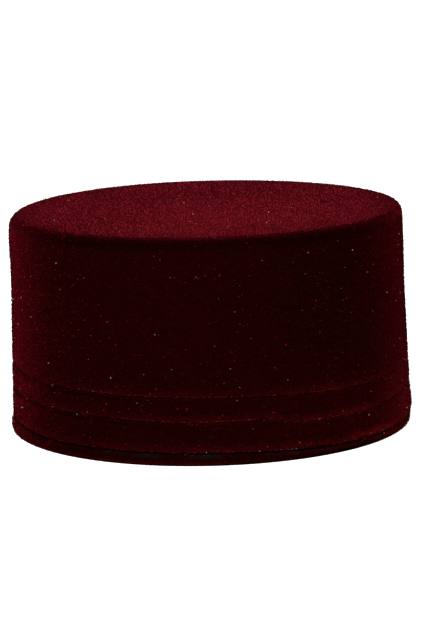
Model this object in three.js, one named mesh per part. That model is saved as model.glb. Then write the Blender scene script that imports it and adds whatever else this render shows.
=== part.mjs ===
// A low velvet fez standing on its rim: a flat round crown with a rolled shoulder, a slightly
// tapering side band drawn in by rows of stitching, and a narrow folded binding that holds the
// band's lower edge. Millimetres, +Z up, the origin at the middle of the rim plane. The front
// is -Y and the right is +X.

import * as THREE from "three";

// Driving dimensions

const HEIGHT = 103;
const RIM_RADIUS = 95; // outside of the side band, carried down to the rim plane
const CROWN_RADIUS = 92.5; // outside of the side band, carried up to the top face
const CLOTH = 2.6; // pile velvet over its stiff backing
const SEWN_GAP = 0.3; // clearance where one piece is sewn to the next
const FACETS = 72; // flats round the hat

const CROWN_SEAM_HEIGHT = 96.5; // where the crown's skirt meets the side band
const SHOULDER_STEPS = 6; // flats in the roll from the side to the top

const ROW_REACH = 3.2; // how far above and below a row of stitching the velvet is drawn in
const ROW_DEPTH = 0.6;

const BINDING_LEG = 1.1; // the binding's cloth, doubled over the band's lower edge
const BINDING_WEB = 1.2; // its thickness under the band's edge
const BINDING_EDGE = 1.2; // round of its two lower corners
const BINDING_TUCK = 0.5; // how far its upper edge is drawn in by the lowest row
const BINDING_INSIDE_HEIGHT = 10.5;
const BINDING_INSIDE_BEVEL = 0.4;

// Bearings at which sizes that change round the hat are given, in degrees from the right side

const BEARINGS = [
  { side: "right", degrees: 0 },
  { side: "back", degrees: 90 },
  { side: "left", degrees: 180 },
  { side: "frontLeft", degrees: 225 },
  { side: "front", degrees: 270 },
  { side: "frontRight", degrees: 315 },
  { side: "right", degrees: 360 },
];

// Radius of the rolled shoulder

const SHOULDER = { right: 4.2, back: 4.4, left: 6, frontLeft: 4.2, front: 3.1, frontRight: 3.4 };

// Heights of the rows of stitching above the rim. The lowest row also sets the binding's upper edge.

const UPPER_ROW = { right: 32.5, back: 32.5, left: 33.3, frontLeft: 31.6, front: 30.7, frontRight: 28.9 };
const MIDDLE_ROW = { right: 20, back: 20.5, left: 21.5, frontLeft: 20.9, front: 19.4, frontRight: 16.7 };
const LOWEST_ROW = { right: 4.7, back: 6.8, left: 8.1, frontLeft: 6.4, front: 6.1, frontRight: 4.1 };

// Swells of the whole wall: how far it stands out at each bearing around a height, and the
// stretches below and above that height over which the swell dies away

const SWELLS = [
  {
    name: "shoulder",
    height: 94,
    below: 21,
    above: 12,
    amount: { right: 0, back: 0.3, left: 0.8, frontLeft: 0.5, front: 0.2, frontRight: 0 },
  },
  {
    name: "skirt",
    height: 13,
    below: 13,
    above: 28,
    amount: { right: 0.35, back: 0.2, left: 0, frontLeft: 0, front: 0.1, frontRight: 0.3 },
  },
];

// Swell of the side band's outer face alone, where its lip stands out over the binding

const LIP_SWELL = {
  height: 7.6,
  below: 4.6,
  above: 11,
  amount: { right: 0.8, back: 0.3, left: 0, frontLeft: 0, front: 0.1, frontRight: 0.4 },
};

// Bulge of the binding's outer face beyond the wall

const BINDING_BULGE = { right: 0.1, back: 0.2, left: 0.5, frontLeft: 0.4, front: 0.4, frontRight: 0.3 };

// Finishes

const CROWN_VELVET = new THREE.MeshStandardMaterial({ color: 0x5b0d15, roughness: 0.95, metalness: 0 });
const BAND_VELVET = new THREE.MeshStandardMaterial({ color: 0x380609, roughness: 0.95, metalness: 0 });
const BINDING_VELVET = new THREE.MeshStandardMaterial({ color: 0x2a0406, roughness: 0.95, metalness: 0 });

// A size at any bearing, eased from one named bearing to the next
function sizeAt(sizes, angle) {
  const degrees = THREE.MathUtils.euclideanModulo(THREE.MathUtils.radToDeg(angle), 360);
  const next = BEARINGS.findIndex((bearing) => bearing.degrees > degrees);
  const from = BEARINGS[next - 1];
  const to = BEARINGS[next];
  const eased = THREE.MathUtils.smoothstep(degrees, from.degrees, to.degrees);
  return THREE.MathUtils.lerp(sizes[from.side], sizes[to.side], eased);
}

// How far a swell stands out at a height and angle
function swellAt(swell, height, angle) {
  const offset = height - swell.height;
  const reach = offset < 0 ? swell.below : swell.above;
  const strength = Math.cos((Math.min(Math.abs(offset) / reach, 1) * Math.PI) / 2) ** 2;
  return strength * sizeAt(swell.amount, angle);
}

// Outer radius of the wall before any row of stitching draws it in
function wallRadius(height, angle) {
  let radius = THREE.MathUtils.lerp(RIM_RADIUS, CROWN_RADIUS, height / HEIGHT);
  for (const swell of SWELLS) {
    radius += swellAt(swell, height, angle);
  }
  return radius;
}

// How deep a row of stitching draws the velvet in at a distance above or below it
function drawnIn(offset) {
  const nearness = Math.max(0, 1 - Math.abs(offset) / ROW_REACH);
  return ROW_DEPTH * nearness ** 2;
}

// A closed mesh turned round the Z axis. Its profile, a list of [radius, height] that runs up the
// outside and down the inside, may change with the angle.
function turnedMesh(name, profileAt, material) {
  const outline = profileAt(0).map(([radius, height]) => new THREE.Vector2(radius, height));
  const geometry = new THREE.LatheGeometry(outline, FACETS);
  const position = geometry.getAttribute("position");
  for (let facet = 0; facet <= FACETS; facet += 1) {
    const angle = ((facet % FACETS) / FACETS) * 2 * Math.PI;
    profileAt(angle).forEach(([radius, height], index) => {
      const vertex = facet * outline.length + index;
      position.setXYZ(vertex, radius * Math.cos(angle), radius * Math.sin(angle), height);
    });
  }
  geometry.computeVertexNormals();
  const mesh = new THREE.Mesh(geometry, material);
  mesh.name = name;
  return mesh;
}

// The crown: a flat disc that rolls over the shoulder into a short skirt
function crownProfile(angle) {
  const shoulder = sizeAt(SHOULDER, angle);
  const rollHeight = HEIGHT - shoulder;
  const rollRadius = wallRadius(rollHeight, angle) - shoulder;
  const roll = (size, step) => {
    const turn = (step / SHOULDER_STEPS) * (Math.PI / 2);
    return [rollRadius + size * Math.cos(turn), rollHeight + size * Math.sin(turn)];
  };
  const inside = shoulder - CLOTH;
  const skirtRadius = wallRadius(CROWN_SEAM_HEIGHT, angle);
  const points = [
    [0, HEIGHT - CLOTH],
    roll(inside, SHOULDER_STEPS),
    roll(inside, SHOULDER_STEPS / 2),
    roll(inside, 0),
    [skirtRadius - CLOTH, CROWN_SEAM_HEIGHT],
    [skirtRadius, CROWN_SEAM_HEIGHT],
  ];
  for (let step = 0; step <= SHOULDER_STEPS; step += 1) {
    points.push(roll(shoulder, step));
  }
  points.push([0, HEIGHT]);
  return points;
}

// The side band: a tapering wall whose lower edge thins to a tongue inside the binding
function bandProfile(angle) {
  const top = CROWN_SEAM_HEIGHT - SEWN_GAP;
  const lip = sizeAt(LOWEST_ROW, angle) + SEWN_GAP;
  const tongueFoot = BINDING_WEB + SEWN_GAP;
  const tongueDepth = BINDING_LEG + SEWN_GAP;
  const rows = [sizeAt(MIDDLE_ROW, angle), sizeAt(UPPER_ROW, angle)];
  const outside = (height) => {
    const drawn = [...rows, lip].map((row) => drawnIn(height - row));
    const swollen = wallRadius(height, angle) + swellAt(LIP_SWELL, height, angle);
    return [swollen - Math.max(...drawn), height];
  };
  const inside = (height) => [wallRadius(height, angle) - CLOTH, height];
  const tongue = (height) => [wallRadius(height, angle) - tongueDepth, height];

  const points = [tongue(tongueFoot), tongue(lip), outside(lip)];
  for (const share of [1 / 3, 1]) {
    points.push(outside(lip + share * ROW_REACH));
  }
  for (const row of rows) {
    for (const share of [-1, -1 / 3, 0, 1 / 3, 1]) {
      points.push(outside(row + share * ROW_REACH));
    }
  }
  for (const height of [56, 73, 83, 90, top]) {
    points.push(outside(height));
  }
  for (const height of [top, 90, 83, 73, 40, 24, tongueFoot]) {
    points.push(inside(height));
  }
  points.push(points[0]);
  return points;
}

// The binding: a strip folded up round the band's lower edge, flat where the hat rests
function bindingProfile(angle) {
  const upperEdge = sizeAt(LOWEST_ROW, angle);
  const bulge = sizeAt(BINDING_BULGE, angle);
  const at = (depth, height) => [wallRadius(height, angle) - depth, height];
  const round = BINDING_EDGE * (1 - Math.SQRT1_2);
  const insideFace = CLOTH + SEWN_GAP;
  const innermost = insideFace + BINDING_LEG;
  const insideTop = BINDING_INSIDE_HEIGHT;
  const points = [
    at(BINDING_EDGE, 0),
    at(round, round),
    at(-0.5 * bulge, BINDING_EDGE),
    at(-bulge, 0.5 * upperEdge),
    at(-0.6 * bulge, 0.85 * upperEdge),
    at(BINDING_TUCK, upperEdge),
    at(BINDING_LEG, upperEdge),
    at(BINDING_LEG, BINDING_WEB),
    at(insideFace, BINDING_WEB),
    at(insideFace, insideTop - BINDING_INSIDE_BEVEL),
    at(insideFace + BINDING_INSIDE_BEVEL, insideTop),
    at(innermost - BINDING_INSIDE_BEVEL, insideTop),
    at(innermost, insideTop - BINDING_INSIDE_BEVEL),
    at(innermost, BINDING_EDGE),
    at(innermost - round, round),
    at(innermost - BINDING_EDGE, 0),
  ];
  points.push(points[0]);
  return points;
}

// The hat, as one assembly of its three sewn pieces

const hat = new THREE.Group();
hat.name = "velvet_fez";
hat.add(turnedMesh("crown_top", crownProfile, CROWN_VELVET));
hat.add(turnedMesh("side_band", bandProfile, BAND_VELVET));
hat.add(turnedMesh("hem_binding", bindingProfile, BINDING_VELVET));

export default hat;
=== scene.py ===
"""Looks of the low velvet fez: pile velvet over a stiff form, rows of stitching and a plain studio.

Sizes are in millimetres, heights are above the rim plane, and angles are counted in radians from the
right side (+X) towards the back (+Y). Meshes are in metres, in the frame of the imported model.
"""

import logging
import math
from dataclasses import dataclass, field
from enum import Enum
from types import SimpleNamespace
from typing import Any, Callable, Mapping, Sequence

import bmesh
import bpy
import numpy as np
from mathutils import Matrix, Vector


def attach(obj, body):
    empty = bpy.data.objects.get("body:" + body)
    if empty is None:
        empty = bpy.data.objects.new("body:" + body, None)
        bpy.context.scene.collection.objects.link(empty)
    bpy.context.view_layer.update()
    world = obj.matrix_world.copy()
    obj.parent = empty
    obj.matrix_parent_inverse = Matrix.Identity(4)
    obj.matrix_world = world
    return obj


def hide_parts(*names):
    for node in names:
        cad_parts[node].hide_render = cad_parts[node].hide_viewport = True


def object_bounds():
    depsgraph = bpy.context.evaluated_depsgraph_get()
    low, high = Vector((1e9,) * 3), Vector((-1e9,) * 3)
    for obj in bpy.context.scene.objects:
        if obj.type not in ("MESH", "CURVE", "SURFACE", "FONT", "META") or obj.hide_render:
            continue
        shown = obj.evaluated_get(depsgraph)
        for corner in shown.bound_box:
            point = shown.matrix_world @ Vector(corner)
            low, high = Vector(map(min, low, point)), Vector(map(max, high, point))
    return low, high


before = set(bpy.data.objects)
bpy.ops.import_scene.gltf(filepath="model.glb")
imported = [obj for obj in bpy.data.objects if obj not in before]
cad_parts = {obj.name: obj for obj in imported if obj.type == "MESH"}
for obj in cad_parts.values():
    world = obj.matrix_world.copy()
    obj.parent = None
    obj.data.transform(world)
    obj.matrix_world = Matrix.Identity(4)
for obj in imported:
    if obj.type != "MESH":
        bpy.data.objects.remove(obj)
CAD_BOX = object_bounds()

log = logging.getLogger("fez")

MM = 0.001
BODY = "root"
ANY_RISE = 2.0  # above the rise of every normal
# States of the pile: grey crushed pile; ruffled pile with painted sheen and painted light; painted shade.
PILE_STATES = ("crush", "ruffle", "shade")

Array = np.ndarray
Colour = tuple[float, float, float, float]
Material = bpy.types.Material
Mesh = bpy.types.Mesh
Node = bpy.types.Node
Object = bpy.types.Object
Socket = bpy.types.NodeSocket


# The form of the hat


class Bearing(Enum):
    """Directions round the hat at which its changing sizes are given, in degrees from the right."""

    RIGHT = 0
    BACK = 90
    LEFT = 180
    FRONT_LEFT = 225
    FRONT = 270
    FRONT_RIGHT = 315


@dataclass(frozen=True)
class Around:
    """A size that changes round the hat, given at six bearings and eased between them."""

    right: float
    back: float
    left: float
    front_left: float
    front: float
    front_right: float

    def at(self, angle: Array) -> Array:
        """The size at each angle.

        Args:
            angle: Angles in radians from the right side.

        Returns:
            The size at each of them.
        """
        knots = np.array([bearing.value for bearing in Bearing] + [360.0])
        sizes = np.array([getattr(self, bearing.name.lower()) for bearing in (*Bearing, Bearing.RIGHT)])
        degrees = np.mod(np.degrees(angle), 360.0)
        index = np.clip(np.searchsorted(knots, degrees, side="right") - 1, 0, len(knots) - 2)
        share = (degrees - knots[index]) / (knots[index + 1] - knots[index])
        return sizes[index] + (sizes[index + 1] - sizes[index]) * smooth(share)


def smooth(share: Array) -> Array:
    """A share from 0 to 1, eased at both ends and clipped."""
    clipped = np.clip(share, 0.0, 1.0)
    return clipped * clipped * (3.0 - 2.0 * clipped)


def rounded(share: Array) -> Array:
    """One at a share of 0, falling in a cosine to nothing at a share of 1 and beyond."""
    return np.cos(np.clip(np.abs(share), 0.0, 1.0) * math.pi / 2.0) ** 2


@dataclass(frozen=True)
class Stretch:
    """A stretch round the hat, in degrees from the right side, over which something is stronger."""

    start: float
    end: float
    fade: float
    amount: float

    def at(self, angle: Array) -> Array:
        """How much stronger it is at each angle."""
        middle = (self.start + self.end) / 2.0
        past = np.abs(np.mod(np.degrees(angle) - middle + 180.0, 360.0) - 180.0)
        return self.amount * (1.0 - smooth((past - (self.end - self.start) / 2.0) / self.fade + 0.5))


@dataclass(frozen=True)
class Swell:
    """A stretch of the wall over which something swells up to an amount, around a height."""

    height: float
    below: float
    above: float
    amount: Around

    def at(self, height: Array, angle: Array) -> Array:
        """How much there is of it at a height and angle."""
        offset = height - self.height
        reach = np.where(offset < 0.0, self.below, self.above)
        return rounded(offset / reach) * self.amount.at(angle)


@dataclass(frozen=True)
class Ripple:
    """One slow wave of the cloth's unevenness."""

    round_the_hat: int
    per_hundred_mm: float
    size: float
    start: float

    def at(self, height: Array, angle: Array) -> Array:
        """Its height above the mean surface, in millimetres."""
        turns = self.round_the_hat * angle + 2.0 * math.pi * self.per_hundred_mm * height / 100.0
        return self.size * np.sin(turns + self.start)


@dataclass(frozen=True)
class StitchedRow:
    """A row of stitching that draws the velvet in, with ruffled pile and painted sheen above it and painted
    shadow below.

    The velvet swells out again slowly above the row and quickly below it. Where the row's two ends
    meet, they miss each other by the jog.
    """

    name: str
    height: Around
    depth: Around = Around(0.25, 0.5, 0.6, 0.5, 0.3, 0.25)
    lip: float = 1.4
    below: float = 1.8
    pitch: float = 2.45
    pucker: float = 0.08
    pucker_reach: float = 1.5
    pucker_radius: float = 94.0
    jog: float = 0.0
    jog_bearing: float = 290.0
    jog_fade: float = 16.0
    jog_blend: float = 1.2
    # How much the pile over the row is ruffled and painted with sheen, round the hat.
    ruffle: Around = Around(0.15, 0.15, 0.08, 0.09, 0.12, 0.30)
    # A stretch of painted sheen, where the pile over the row is painted brighter still.
    painted_sheen: Stretch = Stretch(0.0, 0.0, 1.0, 0.0)
    ruffle_from: float = -0.35
    ruffle_rise: float = 0.5
    ruffle_reach: float = 5.0
    ruffle_power: float = 1.5
    shadow: Around = Around(0.15, 0.3, 0.9, 0.8, 0.2, 0.15)
    shadow_drop: float = 1.3
    shadow_reach: float = 1.4
    stitch_lift: float = 0.8

    def branches(self, angle: Array) -> list[tuple[Array, Array]]:
        """The row's height and strength at each angle, for the stretch on each side of its jog.

        Args:
            angle: Angles in radians from the right side.

        Returns:
            Pairs of heights in millimetres and strengths from 0 to 1.
        """
        base = self.height.at(angle)
        if not self.jog:
            return [(base, np.ones_like(base))]
        past = np.degrees(angle) - self.jog_bearing
        past = np.mod(past + 180.0, 360.0) - 180.0
        shift = self.jog * np.exp(-((past / self.jog_fade) ** 2))
        share = smooth(0.5 + past / (2.0 * self.jog_blend))
        before = np.where(np.abs(past) > 90.0, 0.0, 1.0 - share)
        return [(base + shift, before), (base - shift, 1.0 - before)]

    def strongest(self, height: Array, angle: Array, effect: Callable[[Array], Array]) -> Array:
        """An effect of the row, by the stronger of its stretches where both are there.

        Args:
            height: Heights above the rim in millimetres.
            angle: Angles in radians from the right side.
            effect: What the row does at each distance above it.

        Returns:
            The effect at each height and angle.
        """
        made = [strength * effect(height - level) for level, strength in self.branches(angle)]
        return np.maximum.reduce([np.zeros(np.broadcast(height, angle).shape), *made])

    def drawn_in(self, height: Array, angle: Array) -> Array:
        """How deep the velvet is drawn in here, in millimetres.

        Args:
            height: Heights above the rim in millimetres.
            angle: Angles in radians from the right side.

        Returns:
            Depths in millimetres.
        """
        stitches = angle * self.pucker_radius / self.pitch
        waves = self.pucker * np.cos(2.0 * math.pi * stitches)

        def pull(offset: Array) -> Array:
            """The depth at a distance above the row, and its puckers."""
            reach = np.where(offset < 0.0, self.below, self.lip)
            nearness = np.clip(1.0 - np.abs(offset) / reach, 0.0, 1.0)
            return self.depth.at(angle) * nearness**2 + waves * rounded(offset / self.pucker_reach)

        return self.strongest(height, angle, pull)

    def ruffled(self, height: Array, angle: Array) -> Array:
        """How ruffled the pile is over the row, with its painted sheen, from 0 to 1.

        Args:
            height: Heights above the rim in millimetres.
            angle: Angles in radians from the right side.

        Returns:
            Shares from 0 to 1.
        """
        amount = self.ruffle.at(angle) + self.painted_sheen.at(angle)

        def ruffle(offset: Array) -> Array:
            """The ruffle and painted sheen at a distance above the row."""
            fall = np.clip(1.0 - offset / self.ruffle_reach, 0.0, 1.0) ** self.ruffle_power
            return amount * smooth((offset - self.ruffle_from) / self.ruffle_rise) * fall

        return self.strongest(height, angle, ruffle)

    def shaded(self, height: Array, angle: Array) -> Array:
        """How shaded the pile is under the row, from 0 to 1."""
        amount = self.shadow.at(angle)
        return self.strongest(
            height, angle, lambda offset: amount * rounded((offset + self.shadow_drop) / self.shadow_reach)
        )


@dataclass(frozen=True)
class HatForm:
    """The measured form of the whole hat, from which each piece takes its surface."""

    height: float = 103.0
    rim_radius: float = 95.0
    crown_radius: float = 92.5
    cloth: float = 2.6
    crown_seam: float = 96.5
    pile_depth: float = 0.12
    shoulder: Around = Around(4.2, 4.4, 6.0, 4.2, 3.0, 3.4)
    crown_rise: Around = Around(0.9, 0.55, 0.1, 0.1, 0.3, 0.7)
    rows: tuple[StitchedRow, ...] = (
        StitchedRow(
            "upper",
            Around(32.5, 32.5, 33.3, 31.6, 30.7, 28.9),
            ruffle=Around(0.09, 0.15, 0.10, 0.08, 0.10, 0.18),
        ),
        StitchedRow("middle", Around(20.0, 20.5, 21.5, 20.9, 19.4, 16.7), jog=1.0),
    )
    lowest: StitchedRow = StitchedRow(
        "lowest",
        Around(4.7, 6.8, 8.1, 6.4, 6.1, 4.1),
        ruffle=Around(0.40, 0.2, 0.02, 0.10, 0.14, 0.30),
        # Painted sheen on the lip over the lowest row, at the front right.
        painted_sheen=Stretch(309.0, 352.0, 10.0, 0.75),
        ruffle_from=-0.6,
        stitch_lift=0.32,
    )
    swells: tuple[Swell, ...] = (
        Swell(94.0, 21.0, 12.0, Around(0.0, 0.3, 0.8, 0.5, 0.2, 0.0)),
        Swell(13.0, 13.0, 28.0, Around(0.35, 0.2, 0.0, 0.0, 0.1, 0.3)),
        Swell(62.0, 26.0, 22.0, Around(-0.2, -0.15, -0.1, -0.1, -0.1, -0.15)),
    )
    lip_swell: Swell = Swell(7.6, 4.6, 11.0, Around(0.8, 0.3, 0.0, 0.0, 0.1, 0.4))
    ripples: tuple[Ripple, ...] = (
        Ripple(3, 0.7, 0.10, 0.4),
        Ripple(5, -1.1, 0.07, 2.1),
        Ripple(8, 1.6, 0.05, 4.0),
        Ripple(13, -2.3, 0.03, 1.2),
        Ripple(21, 3.1, 0.02, 5.5),
    )
    ripple_fades: tuple[float, float] = (14.0, 9.0)
    # Painted light low on the wall's right side, where it stands lighter.
    painted_right_light: Swell = Swell(12.0, 16.0, 44.0, Around(0.17, 0.02, 0.0, 0.0, 0.0, 0.04))
    # Painted shade on the shoulder's roll, round the hat.
    shoulder_shade: Around = Around(0.5, 0.4, 0.7, 0.7, 0.5, 0.55)
    shoulder_shade_from: float = 95.5
    shoulder_shade_rise: float = 3.5
    shoulder_shade_edge: float = 0.6

    def wall(self, height: Array, angle: Array) -> Array:
        """Outer radius of the wall in millimetres, before the stitching draws it in."""
        tapered = self.rim_radius + (self.crown_radius - self.rim_radius) * (height / self.height)
        return tapered - self.pile_depth + sum(swell.at(height, angle) for swell in self.swells)

    def unevenness(self, height: Array, angle: Array) -> Array:
        """The cloth's slow unevenness, fading out at the rim and over the shoulder."""
        fade = smooth(height / self.ripple_fades[0]) * smooth((self.height - height) / self.ripple_fades[1])
        return fade * sum(ripple.at(height, angle) for ripple in self.ripples)

    def velvet(self, height: Array, angle: Array) -> Array:
        """Radius of the velvet's outer surface on the side band, in millimetres."""
        drawn = [row.drawn_in(height, angle) for row in self.rows]
        return self.wall(height, angle) + self.unevenness(height, angle) - np.maximum(*drawn)

    def ruffled(self, height: Array, angle: Array) -> Array:
        """How ruffled the pile is over the rows, with painted sheen, plus painted light low on the wall's
        right side, from 0 to 1.
        """
        over = [row.ruffled(height, angle) for row in (*self.rows, self.lowest)]
        return np.maximum.reduce(over) + self.painted_right_light.at(height, angle)

    def shaded(self, height: Array, angle: Array) -> Array:
        """Painted shade on the pile over the shoulder's roll, and painted shadow under the rows.

        Args:
            height: Heights above the rim in millimetres.
            angle: Angles in radians from the right side.

        Returns:
            Shares from 0 to 1.
        """
        below = smooth((height - self.shoulder_shade_from) / self.shoulder_shade_rise)
        above = smooth((self.crown_top(angle) - self.shoulder_shade_edge - height) / self.shoulder_shade_edge)
        under = [row.shaded(height, angle) for row in self.rows]
        return np.maximum.reduce([self.shoulder_shade.at(angle) * below * above, *under])

    def crown_top(self, angle: Array) -> Array:
        """Height of the flat top's edge, which stands a little higher at the back and the right."""
        return self.height - self.pile_depth + self.crown_rise.at(angle)


# Shader and geometry node helpers


class Value:
    """A shader number that adds its own Math nodes where it is used in an expression."""

    def __init__(self, shader: "Shader", socket: Socket) -> None:
        """Wraps an output socket of a shader's tree."""
        self.shader = shader
        self.socket = socket

    def _math(self, operation: str, first: Any, second: Any) -> "Value":
        """One Math node on two numbers."""
        node = self.shader.node("ShaderNodeMath", {"operation": operation}, {0: first, 1: second})
        return Value(self.shader, node.outputs[0])

    def __add__(self, other: Any) -> "Value":
        """This number plus another."""
        return self._math("ADD", self, other)

    __radd__ = __add__

    def __rsub__(self, other: Any) -> "Value":
        """Another number less this one."""
        return self._math("SUBTRACT", other, self)

    def __mul__(self, other: Any) -> "Value":
        """This number times another."""
        return self._math("MULTIPLY", self, other)

    __rmul__ = __mul__

    def sine(self) -> "Value":
        """The sine of this number of radians."""
        return self._math("SINE", self, 0.0)

    def eased(self, low: float, high: float) -> "Value":
        """This number's place between two levels, from 0 to 1 and eased at both ends."""
        levels = {"Value": self, "From Min": low, "From Max": high}
        node = self.shader.node("ShaderNodeMapRange", {"interpolation_type": "SMOOTHSTEP"}, levels)
        return Value(self.shader, node.outputs["Result"])


class NodeBuilder:
    """A node tree, to which each node is added in one call with its settings and its inputs."""

    def __init__(self, tree: bpy.types.NodeTree) -> None:
        """Wraps a tree."""
        self.tree = tree

    def node(self, kind: str, settings: Mapping[str, Any], inputs: Mapping[Any, Any]) -> Node:
        """Adds a node.

        Args:
            kind: The node's type.
            settings: Its properties, set before its sockets.
            inputs: What its inputs are fed with, by name or index.

        Returns:
            The new node.
        """
        made = self.tree.nodes.new(kind)
        for key, value in settings.items():
            setattr(made, key, value)
        for key, value in inputs.items():
            self.feed(made.inputs[key], value)
        return made

    def feed(self, socket: Socket, value: Any) -> None:
        """Links a socket to a Value, another socket or a node's first output, or sets its own value.

        Args:
            socket: The socket to feed.
            value: What it is linked to, or set to.
        """
        source = value.socket if isinstance(value, Value) else value
        source = source.outputs[0] if isinstance(source, Node) else source
        if isinstance(source, Socket):
            self.tree.links.new(source, socket)
        else:
            socket.default_value = source


class Shader(NodeBuilder):
    """A material whose node tree is built by expressions."""

    def __init__(self, name: str) -> None:
        """Makes an empty material with an output node."""
        self.material = bpy.data.materials.new(name)
        self.material.use_nodes = True
        super().__init__(self.material.node_tree)
        self.tree.nodes.clear()
        self.output = self.node("ShaderNodeOutputMaterial", {}, {})
        self.coordinates = self.node("ShaderNodeTexCoord", {}, {}).outputs["Object"]

    def noise(self, scale: float, detail: float = 2.0, rough: float = 0.5) -> Value:
        """Smooth noise over the piece.

        Args:
            scale: Features per metre.
            detail: Octaves added to the first.
            rough: Strength of each octave against the one before.

        Returns:
            Noise from 0 to 1 around one half.
        """
        sizes = {"Vector": self.coordinates, "Scale": scale, "Detail": detail, "Roughness": rough}
        return Value(self, self.node("ShaderNodeTexNoise", {}, sizes).outputs["Fac"])

    def attribute(self, name: str) -> Value:
        """A number that the piece's own mesh holds at each point."""
        return Value(self, self.node("ShaderNodeAttribute", {"attribute_name": name}, {}).outputs["Fac"])

    def mix(self, share: Any, first: Any, second: Any) -> Socket:
        """A colour between two others.

        Args:
            share: 0 for the first, 1 for the second.
            first: A colour or a colour socket.
            second: A colour or a colour socket.

        Returns:
            The mixed colour's socket.
        """
        colours = {"Factor": share, 6: first, 7: second}
        return self.node("ShaderNodeMix", {"data_type": "RGBA"}, colours).outputs[2]

    def finish(self, surface: Mapping[str, Any], bump: Value, distance: float) -> Material:
        """Ends the tree in a Principled surface with bump.

        Args:
            surface: Values for the Principled node's inputs.
            bump: The height of the surface, from 0 to 1.
            distance: What a height of 1 stands for, in metres.

        Returns:
            The material.
        """
        normal = self.node("ShaderNodeBump", {}, {"Height": bump, "Distance": distance, "Strength": 1.0})
        shader = self.node("ShaderNodeBsdfPrincipled", {}, dict(surface) | {"Normal": normal})
        self.feed(self.output.inputs["Surface"], shader)
        return self.material


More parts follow.
